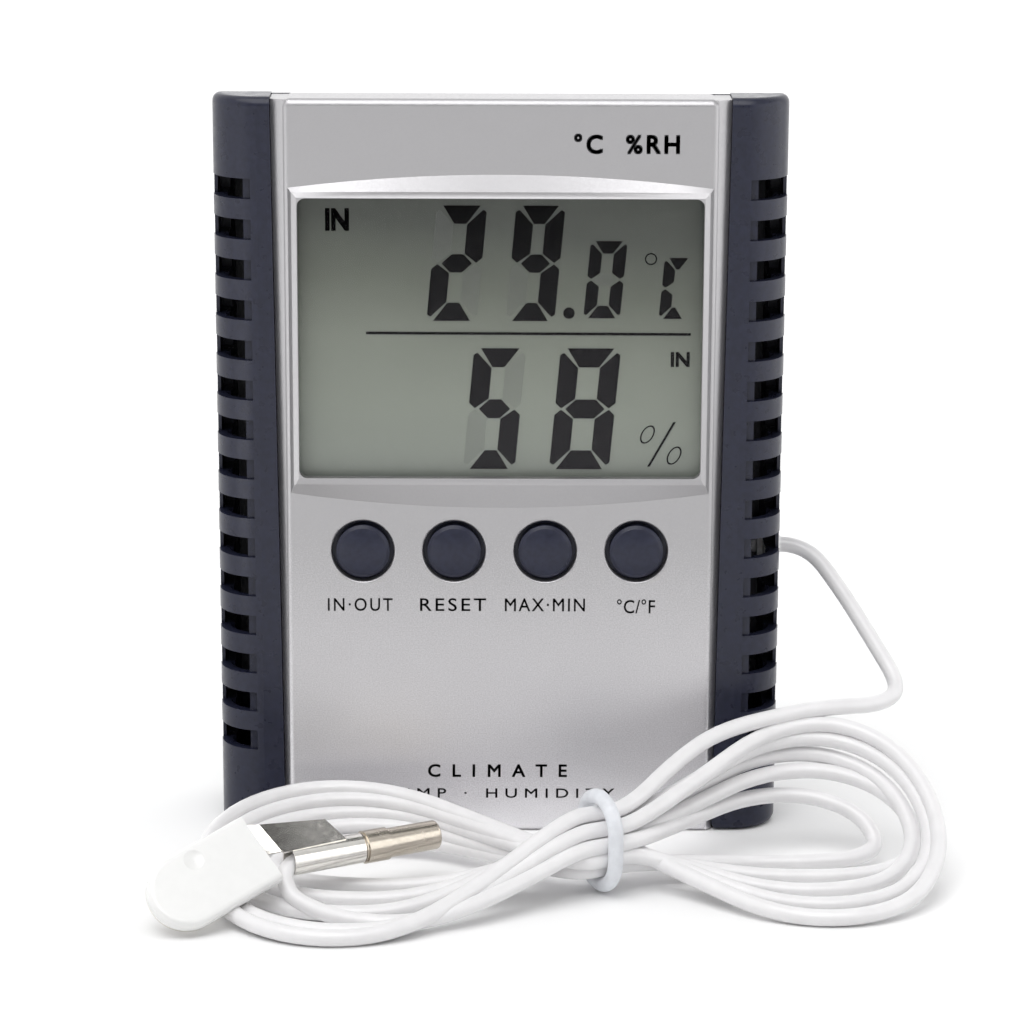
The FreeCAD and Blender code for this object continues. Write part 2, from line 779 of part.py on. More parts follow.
def battery_spring():
    """Coil of round wire between the bay's end wall and the cell's flat end, on a thin plate."""
    wire, coil, turns = 0.35, 3.1, 3.5
    long = 4.2
    depth, level = evaluate("cell_depth"), evaluate("cell_level")
    helix = Part.makeHelix(long / turns, long, coil)
    start = Part.Wire(Part.makeCircle(wire, Vector(coil, 0, 0), Vector(0, 1, 0)))
    winding = Part.Wire(helix.Edges).makePipeShell([start], True, True)
    winding.Placement = Placement(Vector(-20 - wire - long, depth, level), TURNS["x"])
    plate = Part.makeBox(0.3, 9, 9, Vector(-25, depth - 4.5, level - 4.5))
    whole = winding.fuse(plate).removeSplitter()
    return node(fixed_solid("spring_coil", whole), "battery_spring")


def battery_door():
    """Flush door that turns on two stub pins at its top edge, with grip ribs and a latch lip below."""
    thick, pivot, depth = "door_thick", "door_pivot", "door_depth"
    low = "(cell_level - 5.9)"
    plate = box("door_plate", ("-door_half", f"{depth} - {thick} / 2", low),
                ("2 * door_half", thick, f"{pivot} - {low}"))
    knuckle = rod("door_knuckle", "x", ("-door_half", depth, pivot), f"{thick} / 2", "2 * door_half")
    pins = rod("door_pins", "x", ("-door_half - 1.1", depth, pivot), 0.6, "2 * door_half + 2.2")
    lip = box("door_lip", (-2.6, f"{depth} - {thick} / 2 + 0.05", f"{low} - 0.55"), (5.2, 0.6, 0.8))
    ribs = [
        box(f"door_rib{index}", (-7, f"{depth} + {thick} / 2 - 0.6", f"{low} + {1 + 1.1 * index}"), (14, 0.79, 0.5))
        for index in range(3)
    ]
    return node(fuse("door_whole", plate, knuckle, pins, lip, *ribs), "battery_door")


def stand():
    """Folding leg: flat plate with a round pivot edge, stub pins and shallow ribs."""
    thick, pivot, depth = "stand_thick", "stand_pivot", "stand_depth"
    plate = box("leg_plate", ("-stand_half", f"{depth} - {thick} / 2", "stand_foot"),
                ("2 * stand_half", thick, f"{pivot} - stand_foot"))
    knuckle = rod("leg_knuckle", "x", ("-stand_half", depth, pivot), f"{thick} / 2", "2 * stand_half")
    pins = rod("leg_pins", "x", ("-stand_half - 1.7", depth, pivot), 1.0, "2 * stand_half + 3.4")
    whole = fuse("leg_solid", plate, knuckle, pins)
    grooves = [
        box(f"leg_groove{index}", ("-stand_half + 4", f"{depth} + {thick} / 2 - 0.5", 14 + 11 * index),
            ("2 * stand_half - 8", 1, 8))
        for index in range(4)
    ]
    return node(cut("leg", whole, *grooves), "stand")


# ---------------------------------------------------------------- screws
def screws(name, places, head, shank, seat, rise, reach):
    """Pan-head screws driven from the back, with a cross recess."""
    solids = []
    for index, (across, up) in enumerate(places):
        stem = rod(f"{name}_stem{index}", "y", (across, f"{seat} - {reach}", up), shank, reach)
        top = rod(f"{name}_head{index}", "y", (across, seat, up), head, rise)
        cross = [
            box(f"{name}_cross{index}a", (f"{across} - {head * 0.55}", f"{seat} + {rise * 0.45}", f"{up} - 0.25"),
                (head * 1.1, 2, 0.5)),
            box(f"{name}_cross{index}b", (f"{across} - 0.25", f"{seat} + {rise * 0.45}", f"{up} - {head * 0.55}"),
                (0.5, 2, head * 1.1)),
        ]
        solids.append(cut(f"{name}_screw{index}", fuse(f"{name}_whole{index}", stem, top), *cross))
    return node(group(name + "_set", solids), name)


# ---------------------------------------------------------------- cord
LEAD_PATH = [
    (43.0, 4.5, 41.2), (47.2, 4.5, 41.2), (52.2, 0.6, 35.2), (57.1, -4.3, 27.9), (60.8, -9.0, 22.3),
    (57.7, -13.2, 20.9), (49.6, -16.1, 21.4), (43.4, -17.1, 20.7),
]
INNER_PATH = [(39.4, 4.5, 41.2), (35.2, 4.5, 41.2), (30.8, 2.4, 42.8), (26.4, -0.1, 45.2), (26.4, -3.4, 45.2)]
TAIL_PATH = [(-22.4, -52.2, 1.95), (-26.5, -50.6, 2.3), (-30.2, -48.3, 3.5)]

PROBE = Placement(Vector(-30.2, -44.4, 7.0), Rotation(29, 0, 35))
TONGUE = Placement(Vector(-33.63, -47.29, 10.25), Rotation(35.2, -17.6, 45.9))
WAIST = Placement(Vector(14.5, -37.5, 7.8), Rotation(27, 0, 0))


def along_probe(distance):
    """A point on the probe's axis."""
    return PROBE.multVec(Vector(distance, 0, 0))


def tube(name, points):
    """A round cord: straight runs joined by tangent arcs, with its volume compared to its length."""
    places = [Vector(*point) for point in points]
    edges, radii = [], []
    start = places[0]
    for before, corner, after in zip(places, places[1:], places[2:]):
        arrive, leave = corner - before, after - corner
        half_turn = arrive.getAngle(leave) / 2
        trim = 0.45 * min(arrive.Length, leave.Length)
        first = corner - arrive.normalize() * trim
        last = corner + leave.normalize() * trim
        radius = trim / math.tan(half_turn)
        inward = (last - corner) + (first - corner)
        middle_point = corner + inward.normalize() * (radius / math.cos(half_turn) - radius)
        edges.append(Part.LineSegment(start, first).toShape())
        edges.append(Part.Arc(first, middle_point, last).toShape())
        radii.append(radius)
        start = last
    edges.append(Part.LineSegment(start, places[-1]).toShape())
    spine = Part.Wire(edges)
    across = evaluate("cable_dia / 2")
    ring = Part.Wire(Part.makeCircle(across, places[0], places[1] - places[0]))
    solid = spine.makePipeShell([ring], True, False)
    expected = math.pi * across**2 * spine.Length
    if abs(solid.Volume / expected - 1) > 0.01:
        raise RuntimeError(f"{name} has volume {solid.Volume:.1f}, not {expected:.1f}")
    print(name, "length", round(spine.Length, 1), "bend radii", [round(radius, 1) for radius in radii])
    return fixed_solid(name + "_tube", solid)


def cable_grommet():
    """Flanged bush in the side wall, tapered where the cord leaves."""
    level, depth = "cable_level", "cable_depth"
    flange = rod("grommet_flange", "x", ("rear_width / 2 - rear_wall - 0.8", depth, level), 3.2, 0.8)
    shank = rod("grommet_shank", "x", ("rear_width / 2 - rear_wall", depth, level), 2.2, "rear_wall")
    taper = doc.addObject("Part::Cone", "grommet_taper")
    taper.Placement = Placement(Vector(), TURNS["x"])
    bind(taper, Radius1=2.2, Radius2=1.5, Height="43 - rear_width / 2", Placement__Base__x="rear_width / 2",
         Placement__Base__y=depth, Placement__Base__z=level)
    return node(fuse("grommet_whole", flange, shank, taper), "cable_grommet")


def cords():
    node(tube("cable_inner", INNER_PATH), "cable_inner")
    node(tube("cable_lead", LEAD_PATH), "cable_lead")
    rear = [along_probe(-0.6), along_probe(evaluate("probe_start"))]
    node(tube("cable_tail", TAIL_PATH + rear), "cable_tail")


# across, front, back, floor, mat height, curtain front, top
COIL_STATIONS = [
    (-44.2, -40.5, -30.0, 1.6, 3.6, -36.0, 6.8),
    (-40.0, -47.0, -22.0, 0.0, 2.8, -30.0, 8.6),
    (-33.0, -54.5, -17.2, 0.0, 2.6, -25.0, 9.8),
    (-25.0, -60.5, -16.0, 0.0, 2.6, -23.5, 10.6),
    (-14.0, -60.7, -16.4, 0.0, 2.8, -23.5, 10.4),
    (-6.0, -58.0, -19.5, 0.0, 3.6, -26.5, 10.6),
    (3.0, -50.5, -30.5, 0.8, 5.2, -39.5, 11.4),
    (10.5, -42.85, -36.25, 3.7, 11.0, -42.0, 11.9),
    (18.5, -38.75, -32.15, 3.7, 11.0, -37.9, 11.9),
    (25.0, -44.0, -24.0, 1.2, 6.0, -33.0, 16.6),
    (33.0, -49.5, -18.2, 0.0, 3.6, -26.0, 20.2),
    (43.4, -52.6, -15.2, 0.0, 2.8, -20.4, 21.9),
    (50.0, -51.8, -15.0, 0.0, 3.0, -19.6, 20.2),
    (58.0, -48.6, -16.2, 0.0, 4.4, -24.0, 18.4),
    (62.5, -43.0, -20.5, 0.4, 6.4, -32.0, 15.0),
    (65.0, -37.5, -28.0, 3.6, 8.0, -33.0, 11.0),
]


def cable_coil():
    """Outer shape of the coiled cord: a low mat in front, a taller bank behind, drawn in at the tie."""
    sections = []
    for across, front, back, floor, mat, curtain, top in COIL_STATIONS:
        corners = [
            (front, floor), (back, floor), (back, top), (curtain, top), (curtain, mat), (front, mat),
        ]
        places = [Vector(across, depth, up) for depth, up in corners]
        sections.append(Part.makePolygon(places + places[:1]))
    whole = Part.makeLoft(sections, True, True)
    return node(fixed_solid("coil_shape", whole), "cable_coil")


def tie_ring():
    """Oval ring round the waist of the coil."""
    bend, half = evaluate("tie_round"), evaluate("tie_straight / 2")
    corners = [Vector(0, side * bend, end * half) for side, end in ((1, -1), (1, 1), (-1, 1), (-1, -1))]
    spine = Part.Wire([
        Part.LineSegment(corners[0], corners[1]).toShape(),
        Part.Arc(corners[1], Vector(0, 0, half + bend), corners[2]).toShape(),
        Part.LineSegment(corners[2], corners[3]).toShape(),
        Part.Arc(corners[3], Vector(0, 0, -half - bend), corners[0]).toShape(),
    ])
    ring = Part.Wire(Part.makeCircle(evaluate("tie_wire / 2"), corners[0], Vector(0, 0, 1)))
    solid = spine.makePipeShell([ring], True, False)
    return node(fixed_solid("tie_oval", solid, WAIST), "tie_ring")


# ---------------------------------------------------------------- probe
def probe():
    """Crimped metal capsule with a potted rear end and a bead inside, along the probe's own X axis."""
    radius, start, end = "probe_dia / 2", "probe_start", "probe_end"
    rear = rod("capsule_rear", "x", (start, 0, 0), 1.88, "barrel_end + 0.2 - probe_start")
    front = rod("capsule_front", "x", ("barrel_end + 0.2", 0, 0), radius, "probe_end - barrel_end - 0.2")
    bore = rod("capsule_bore", "x", (start, 0, 0), 1.55, "probe_end - 0.5 - probe_start")
    capsule = cut("capsule_tube", fuse("capsule_bar", rear, front), bore)
    doc.recompute()
    rounded = doc.addObject("Part::Fillet", "capsule_rounded")
    rounded.Base = capsule
    rims = [number for number, edge in enumerate(capsule.Shape.Edges, start=1)
            if is_round(edge, evaluate(radius)) and abs(middle(edge).x - evaluate(end)) < 0.01]
    rounded.Edges = [(number, 0.45, 0.45) for number in rims]
    rounded.Placement = PROBE
    node(rounded, "probe_capsule")
    outer = rod("collar_outer", "x", ("barrel_end + 0.5", 0, 0), "probe_dia / 2 + 0.25", 3.6)
    inner = rod("collar_inner", "x", ("barrel_end + 0.5", 0, 0), radius, 3.6)
    collar = cut("collar_ring", outer, inner)
    collar.Placement = PROBE
    node(collar, "probe_collar")
    filling = Part.makeCylinder(1.55, 2.6, Vector(evaluate(start), 0, 0), Vector(1, 0, 0))
    node(fixed_solid("plug_bar", filling, PROBE), "probe_plug")
    legs = rod("bead_legs", "x", ("probe_start + 2.6", 0, 0), 0.5, 12.4)
    bead = rod("bead_body", "x", ("probe_start + 15", 0, 0), 1.1, 2.6)
    thermistor = fuse("bead_whole", legs, bead)
    thermistor.Placement = PROBE
    node(thermistor, "probe_thermistor")


# ---------------------------------------------------------------- clip
LOWER = "-2.9"
UPPER = "-2.1"


def stadium(name, half, level, thick, tip, rear):
    """A flat tongue with a round tip, from its lower level, in the clip's own frame."""
    straight = box(name + "_straight", (f"-({tip}) + {half}", f"-({half})", level),
                   (f"{tip} - ({half}) + ({rear})", f"2 * ({half})", thick))
    end = rod(name + "_tip", "z", (f"-({tip}) + {half}", 0, level), half, thick)
    return fuse(name, straight, end)


def knuckles(name, near, far):
    """A pair of knuckles on the clip's pin, and the bore that goes through both."""
    rings = [
        rod(f"{name}_{side}", "y", ("pin_back", start, "pin_drop"), 1.0, far - near)
        for side, start in (("right", near), ("left", -far))
    ]
    bore = rod(name + "_bore", "y", ("pin_back", -far - 1, "pin_drop"), "pin_dia / 2 + 0.05", 2 * far + 2)
    return rings, bore


def bridge():
    """The strip that folds from the lower jaw to the flat beside the barrel."""
    low, high = evaluate(LOWER), evaluate(f"{LOWER} + sheet")
    jaw_side = [TONGUE.multVec(Vector(0, y, z)) for y, z in ((-0.5, low), (-0.5, high), (5.0, high), (5.0, low))]
    places = ((-0.9, 0.3, 2.0), (-0.9, 0.3, 2.35), (-2.5, 5.2, 2.35), (-2.5, 5.2, 2.0))
    flat_side = [PROBE.multVec(Vector(*place)) for place in places]
    wires = [Part.makePolygon(side + side[:1]) for side in (jaw_side, flat_side)]
    return Part.makeLoft(wires, True, True)


def clip_base():
    """Folded sheet: a rolled barrel round the probe, the flat beside it and the lower jaw."""
    barrel_bar = rod("barrel_bar", "x", (0.3, 0, 0), "barrel_dia / 2", "barrel_end - 0.3")
    barrel_bore = rod("barrel_bore", "x", (0, 0, 0), 1.92, "barrel_end + 1")
    corners = [(-1.2, 0.0), (8.9, 0.4), (7.1, 4.4), (-2.9, 5.4)]
    flat = Part.Face(Part.makePolygon([Vector(x, y, 2.0) for x, y in corners + corners[:1]]))
    flat_plate = fixed_solid("clip_flat", flat.extrude(Vector(0, 0, evaluate("sheet"))))
    rolled = cut("barrel_part", fuse("barrel_and_flat", barrel_bar, flat_plate), barrel_bore)
    rolled.Placement = PROBE
    rings, bore = knuckles("base_knuckle", 1.8, 3.2)
    tongue = stadium("base_tongue", "tongue_half - 0.3", LOWER, "sheet", "tongue_round + tongue_half - 0.3", 0.2)
    lip = box("base_lip", (-17.4, -2, f"{LOWER} + sheet"), (0.4, 4, 0.41))
    notches = [
        box("base_notch1", (-2.4, 3.25, "-4"), (2.35, 1.95, 2)),
        box("base_notch2", (-2.4, -5.4, "-4"), (3, 2.15, 2)),
        box("base_notch3", (-2.4, -1.7, "-4"), (2.3, 3.4, 2)),
    ]
    jaw = cut("base_jaw", fuse("base_solid", cut("base_plate", tongue, *notches), lip, *rings), bore)
    jaw.Placement = TONGUE
    strip = fixed_solid("clip_bridge", bridge())
    return node(fuse("clip_sheet", rolled, jaw, strip), "clip_base")


def clip_jaw():
    """Upper plate with its own pair of knuckles; it turns on the pin."""
    rings, bore = knuckles("jaw_knuckle", 3.4, 5.0)
    tongue = stadium("jaw_tongue", "tongue_half", UPPER, "sheet", "tongue_round + tongue_half", -2.45)
    straps = [
        box(f"jaw_strap{index}", (-2.6, start, UPPER), (1.4, 1.6, "sheet"))
        for index, start in enumerate((3.4, -5.0))
    ]
    whole = cut("jaw_plate", fuse("jaw_solid", tongue, *straps, *rings), bore)
    whole.Placement = TONGUE
    return node(whole, "clip_jaw")


def clip_cover():
    """Soft-edged cover on the upper jaw, hollow over the knuckles, with a thumb hollow."""
    level = evaluate(f"{UPPER} + sheet")
    slab = stadium("cover_slab", "tongue_half", level, -level, "tongue_round + tongue_half", 0)
    doc.recompute()
    rims = [number for number, edge in enumerate(slab.Shape.Edges, start=1)
            if edge.BoundBox.ZMin > -0.01 and middle(edge).x < -0.1]
    rounded = doc.addObject("Part::Fillet", "cover_rounded")
    rounded.Base = slab
    rounded.Edges = [(number, 0.9, 0.9) for number in rims]
    hollow = box("cover_hollow", (-2.45, "-tongue_half + 0.3", level - 1), (4, "2 * tongue_half - 0.6", 2.15))
    thumb = doc.addObject("Part::Sphere", "cover_thumb")
    bind(thumb, Radius=3.4, Placement__Base__x=-9.6, Placement__Base__y=3.2, Placement__Base__z=3.05)
    whole = cut("cover_shape", rounded, hollow, thumb)
    whole.Placement = TONGUE
    return node(whole, "clip_cover")


def clip_pin():
    pin = rod("pin_bar", "y", ("pin_back", -5.1, "pin_drop"), "pin_dia / 2", 10.2)
    holder = fuse("pin_turned", pin, rod("pin_centre", "y", ("pin_back", -1, "pin_drop"), "pin_dia / 2", 2))
    holder.Placement = TONGUE
    return node(holder, "clip_pin")


def clip_spring():
    """Torsion spring round the pin, with one leg along each side between the jaws."""
    wire, coil, turns, half = 0.2, 0.82, 5, 1.4
    helix = Part.makeHelix(2 * half / turns, 2 * half, coil)
    start = Part.Wire(Part.makeCircle(wire, Vector(coil, 0, 0), Vector(0, 1, 0)))
    winding = Part.Wire(helix.Edges).makePipeShell([start], True, True)
    winding.Placement = Placement(Vector(evaluate("pin_back"), -half, evaluate("pin_drop")), TURNS["y"])
    whole = winding
    for side in (-1, 1):
        leg = Part.makeCylinder(wire, 4.4, Vector(-1.9, side * half, -2.34), Vector(-1, 0, 0))
        whole = whole.fuse(leg)
    return node(fixed_solid("clip_winding", whole, TONGUE), "clip_spring")


def check_and_write():
    doc.recompute()
    for thing in doc.Objects:
        for mark in ("Invalid", "Error"):
            if mark in thing.State:
                raise RuntimeError(f"{thing.Name} is {thing.State}")
    for name, thing in nodes.items():
        shape = thing.Shape
        if shape.isNull() or not shape.isValid():
            raise RuntimeError(f"{name} has no valid shape")
        shape.exportStep(f"parts/{name}.step")
        limits = shape.BoundBox
        print(f"{name:20s} solids {len(shape.Solids)}  volume {shape.Volume:9.1f}  "
              f"x {limits.XMin:6.1f}..{limits.XMax:6.1f}  y {limits.YMin:6.1f}..{limits.YMax:6.1f}  "
              f"z {limits.ZMin:6.1f}..{limits.ZMax:6.1f}")


front_cover()
grille("left_grille", -1)
grille("right_grille", 1)
back_cover()
window_lens()
lcd_glass()
lcd_holder()
zebra_strip()
main_pcb()
main_chip()
crystal()
humidity_sensor()
inner_thermistor()
key_switches()
for number, title in enumerate(BUTTONS):
    plunger(number, title)
    button(number, title)
battery()
battery_contact()
battery_spring()
battery_door()
stand()
screws("case_screws", CASE_SCREWS, 2.0, 1.1, -0.6, 1.5, 8)
screws("pcb_screws", BOARD_SCREWS, 1.7, 0.85, "(board_front + board_thick)", 1.1, 4.6)
cable_grommet()
cords()
cable_coil()
tie_ring()
probe()
clip_base()
clip_jaw()
clip_cover()
clip_pin()
clip_spring()
check_and_write()
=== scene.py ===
"""Looks of an indoor and outdoor max-min thermometer with a wired clip-on probe.

Metres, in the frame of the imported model: the front faces -Y and +Z is up.
"""
import math
import bpy
from mathutils import Matrix, Vector


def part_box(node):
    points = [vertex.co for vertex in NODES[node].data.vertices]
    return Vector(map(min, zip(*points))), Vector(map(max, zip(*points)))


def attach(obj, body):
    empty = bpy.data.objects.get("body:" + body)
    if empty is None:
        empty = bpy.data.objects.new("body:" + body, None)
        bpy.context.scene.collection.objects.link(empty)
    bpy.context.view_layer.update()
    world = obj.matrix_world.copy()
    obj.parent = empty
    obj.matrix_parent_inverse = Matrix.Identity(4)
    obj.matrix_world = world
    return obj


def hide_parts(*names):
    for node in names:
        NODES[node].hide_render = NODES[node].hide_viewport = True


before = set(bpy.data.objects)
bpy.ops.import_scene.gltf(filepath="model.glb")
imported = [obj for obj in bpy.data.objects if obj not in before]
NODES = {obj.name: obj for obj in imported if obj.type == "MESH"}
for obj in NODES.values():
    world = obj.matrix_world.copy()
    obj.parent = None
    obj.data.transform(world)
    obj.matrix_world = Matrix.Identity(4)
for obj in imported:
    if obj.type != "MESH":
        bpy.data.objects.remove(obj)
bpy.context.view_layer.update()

MM = 0.001
scene = bpy.context.scene


def mm(*values):
    """A point given in millimetres."""
    return Vector(values) * MM


# ---------------------------------------------------------------- camera
CAMERA_PLACE = mm(-1.63, -525.71, 178.36)
CAMERA_DOWN = 0.244346
CAMERA_YAW = 0.006694
CAMERA_ROLL = 0.004047
CAMERA_LENS = 125.32
CAMERA_SENSOR = 36


def add_camera():
    """A camera in front and a little above, looking down at the object."""
    down, yaw, roll = CAMERA_DOWN, CAMERA_YAW, CAMERA_ROLL
    forward = Vector((math.sin(yaw) * math.cos(down), math.cos(yaw) * math.cos(down), -math.sin(down)))
    right = Vector((math.cos(yaw), -math.sin(yaw), 0))
    up = right.cross(forward)
    level = Matrix((right, up, -forward)).transposed()
    data = bpy.data.cameras.new("camera")
    data.lens = CAMERA_LENS
    data.sensor_width = CAMERA_SENSOR
    camera = bpy.data.objects.new("camera", data)
    turned = (level @ Matrix.Rotation(roll, 3, "Z")).to_4x4()
    camera.matrix_world = Matrix.Translation(CAMERA_PLACE) @ turned
    scene.collection.objects.link(camera)
    scene.camera = camera


add_camera()


# ---------------------------------------------------------------- cord
CORD_DIAMETER = 2.4
LEAD = [
    (43.0, 4.5, 41.2), (47.2, 4.5, 41.2), (52.2, 0.6, 35.2), (57.1, -4.3, 27.9), (60.8, -9.0, 22.3),
    (57.7, -13.2, 20.9), (49.6, -16.1, 21.4), (43.4, -17.1, 20.7), (33.0, -20.6, 19.2), (26.5, -25.5, 16.4),
]
TAIL = [
    (3.5, -46.5, 4.8), (-4.0, -52.2, 3.0), (-11.0, -54.8, 1.7), (-17.0, -54.6, 1.4), (-22.4, -52.9, 1.5),
    (-26.5, -50.6, 2.1), (-30.2, -48.3, 3.5), (-30.72, -44.69, 7.0), (-26.7, -42.46, 7.0),
]
WAIST = Vector((14.5, -37.5, 7.8))
WAIST_YAW = math.radians(27)
WAIST_REACH = 5.0
# Places of the strands in the tie: across the bundle, and up.
UPPER_STRANDS = [(0.6, 3.9), (-1.2, 2.0), (1.3, 1.9), (2.4, -0.1), (0.0, 0.0), (-2.4, -0.1)]
LOWER_STRANDS = [(2.5, -2.1), (0.0, -2.1), (-2.5, -2.1), (1.2, -3.9), (-1.2, -3.9)]
# How far out along a lobe each point lies, and how much of the lobe's width it has there.
LOBE_STEPS = [(0.22, 0.45), (0.45, 0.92), (0.70, 1.0), (0.91, 0.66), (1.0, 0.0)]
LOBE_BACK = list(reversed(LOBE_STEPS[:-1]))
# Each turn's far point across, front, back, height of its back strand, and depth and height of its far point.
LEFT_TURNS = [
    (-44.0, -60.8, -17.2, 9.2, -35, 5.0),
    (-42.4, -58.2, -18.6, 7.8, -36, 4.2),
    (-40.6, -50.9, -19.4, 6.0, -35, 3.4),
    (-37.8, -45.0, -20.8, 4.4, -34, 2.6),
    (-34.0, -39.2, -22.5, 2.6, -32, 1.6),
]
RIGHT_TURNS = [
    (65.0, -52.4, -16.6, 19.4, -33, 7.4),
    (63.8, -47.0, -16.8, 17.2, -32, 7.0),
    (61.5, -41.0, -16.4, 14.6, -30, 6.0),
    (62.4, -35.0, -18.0, 12.4, -30, 5.0),
    (56.5, -28.6, -18.5, 8.6, -25, 3.0),
]
FLOOR_GAP = 0.05


def in_tie(place, step):
    """A point of a strand near the tie: its place in the bundle, and how far along the bundle."""
    along = Vector((math.cos(WAIST_YAW), math.sin(WAIST_YAW), 0))
    across = Vector((-along.y, along.x, 0))
    return WAIST + along * step + across * place[0] + Vector((0, 0, place[1]))


def through_tie(place, direction):
    """A strand's three points before, in and after the tie, in the order that the direction gives."""
    return [in_tie(place, direction * step) for step in (-WAIST_REACH, 0, WAIST_REACH)]


def lobe(turn, leave, arrive):
    """One turn's loop on one side of the tie: out along the floor in front, back along the rear."""
    far, front, back, top, far_depth, far_height = turn
    floor = CORD_DIAMETER / 2 + FLOOR_GAP
    points = []
    for rear, steps in ((False, LOBE_STEPS), (True, LOBE_BACK)):
        root = arrive if rear else leave
        side, level = (back, top) if rear else (front, floor)
        for reach, swell in steps:
            depth = root.y + (far_depth - root.y) * reach
            height = root.z + (far_height - root.z) * reach
            lift = swell if rear else min(1, 1.25 * swell)
            points.append(Vector((
                root.x + (far - root.x) * reach,
                depth + swell * (side - depth),
                max(floor, height + lift * (level - height)),
            )))
    return points


def cord_route():
    """The cord from the case to the probe: the lead, five turns of the coil, and the tail."""
    route = [Vector(point) for point in LEAD]
    for index, (left, right) in enumerate(zip(LEFT_TURNS, RIGHT_TURNS)):
        upper, lower = UPPER_STRANDS[index], LOWER_STRANDS[index]
        following = UPPER_STRANDS[index + 1]
        route += through_tie(upper, -1)
        route += lobe(left, in_tie(upper, -WAIST_REACH), in_tie(lower, -WAIST_REACH))
        route += through_tie(lower, 1)
        route += lobe(right, in_tie(lower, WAIST_REACH), in_tie(following, WAIST_REACH))
    route += through_tie(UPPER_STRANDS[-1], -1)
    return route + [Vector(point) for point in TAIL]


def add_cord():
    """One open spline along the whole route."""
    data = bpy.data.curves.new("cord", "CURVE")
    data.dimensions = "3D"
    # A point's radius scales the bevel and also pads the curve's box, so it is one millimetre.
    data.bevel_depth = CORD_DIAMETER / 2
    data.bevel_resolution = 6
    data.resolution_u = 6
    data.use_fill_caps = True
    route = cord_route()
    spline = data.splines.new("NURBS")
    spline.points.add(len(route) - 1)
    for point, place in zip(spline.points, route):
        point.co = (*(place * MM), 1)
        point.radius = MM
    spline.order_u = 3
    spline.use_endpoint_u = True
    cord = bpy.data.objects.new("cord", data)
    scene.collection.objects.link(cord)
    return cord


cord = add_cord()
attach(cord, "case")
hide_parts("cable_lead", "cable_coil", "cable_tail")


# ---------------------------------------------------------------- materials
def colour(value):
    """A linear colour from one number or three."""
    red, green, blue = value if isinstance(value, tuple) else (value,) * 3
    return (red, green, blue, 1)


NOISE_RANGE = (0.3, 0.7)
SHADE_STOPS = (0.32, 0.68)


class Finish:
    """A node material with one principled shader, built up step by step."""

    def __init__(self, name, base, roughness, metallic=0.0, coat=0.0, specular=0.5):
        self.material = bpy.data.materials.new(name)
        self.material.use_nodes = True
        self.tree = self.material.node_tree
        self.shader = self.tree.nodes["Principled BSDF"]
        self.material.diffuse_color = colour(base)
        self.set("Base Color", colour(base))
        self.set("Roughness", roughness)
        self.set("Metallic", metallic)
        self.set("Coat Weight", coat)
        self.set("Specular IOR Level", specular)
        self.places = self.add("ShaderNodeTexCoord").outputs["Object"]

    def set(self, socket, value):
        self.shader.inputs[socket].default_value = value

    def add(self, kind, **settings):
        node = self.tree.nodes.new(kind)
        for key, value in settings.items():
            setattr(node, key, value)
        return node

    def join(self, output, target):
        self.tree.links.new(output, target)

    def stretched(self, factors):
        """The piece's own coordinates, stretched along each axis."""
        mapping = self.add("ShaderNodeMapping")
        self.join(self.places, mapping.inputs["Vector"])
        mapping.inputs["Scale"].default_value = factors
        return mapping.outputs["Vector"]

    def noise(self, size, detail=2.0, places=None):
        """Noise whose features are about as wide as a size in millimetres."""
        node = self.add("ShaderNodeTexNoise")
        self.join(places or self.places, node.inputs["Vector"])
        node.inputs["Scale"].default_value = 1 / (size * MM)
        node.inputs["Detail"].default_value = detail
        return node.outputs["Fac"]

    def span(self, value, before, after):
        """A value carried over from one range to another."""
        node = self.add("ShaderNodeMapRange")
        self.join(value, node.inputs["Value"])
        limits = zip(("From Min", "From Max", "To Min", "To Max"), (*before, *after))
        for socket, limit in limits:
            node.inputs[socket].default_value = limit
        return node.outputs["Result"]

    def along(self, axis, before, after=(0, 1)):
        """A value that changes evenly along one of the piece's own axes."""
        parts = self.add("ShaderNodeSeparateXYZ")
        self.join(self.places, parts.inputs["Vector"])
        return self.span(parts.outputs[axis], before, after)

    def sum(self, factor, weight, rest):
        """A factor times its weight, plus another factor."""
        node = self.add("ShaderNodeMath", operation="MULTIPLY_ADD")
        self.join(factor, node.inputs[0])
        node.inputs[1].default_value = weight
        self.join(rest, node.inputs[2])
        return node.outputs[0]

    def ramp(self, factor, stops):
        """A colour ramp over pairs of position and colour."""
        node = self.add("ShaderNodeValToRGB")
        self.join(factor, node.inputs["Fac"])
        elements = node.color_ramp.elements
        while len(elements) < len(stops):
            elements.new(0.5)
        for element, (position, value) in zip(elements, stops):
            element.position = position
            element.color = colour(value)
        return node.outputs["Color"]

    def paint(self, factor, stops):
        self.join(self.ramp(factor, stops), self.shader.inputs["Base Color"])
        return self

    def polish(self, factor, low, high):
        """Roughness that wanders between two values."""
        self.join(self.span(factor, NOISE_RANGE, (low, high)), self.shader.inputs["Roughness"])
        return self

    def emboss(self, factor, strength, height):
        """Relief from a factor, its height in millimetres."""
        node = self.add("ShaderNodeBump")
        self.join(factor, node.inputs["Height"])
        node.inputs["Strength"].default_value = strength
        node.inputs["Distance"].default_value = height * MM
        self.join(node.outputs["Normal"], self.shader.inputs["Normal"])
        return self


def shade(low, high, tint=(1.0, 1.0, 1.0)):
    """Two ramp stops between two greys of one tint."""
    return [
        (stop, tuple(grey * part for part in tint))
        for stop, grey in zip(SHADE_STOPS, (low, high))
    ]


def across_node(finish, name, axis, after=(0, 1)):
    """A value that changes evenly from one side of a node's box to the other."""
    low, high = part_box(name)
    index = "XYZ".index(axis)
    return finish.along(axis, (low[index], high[index]), after)


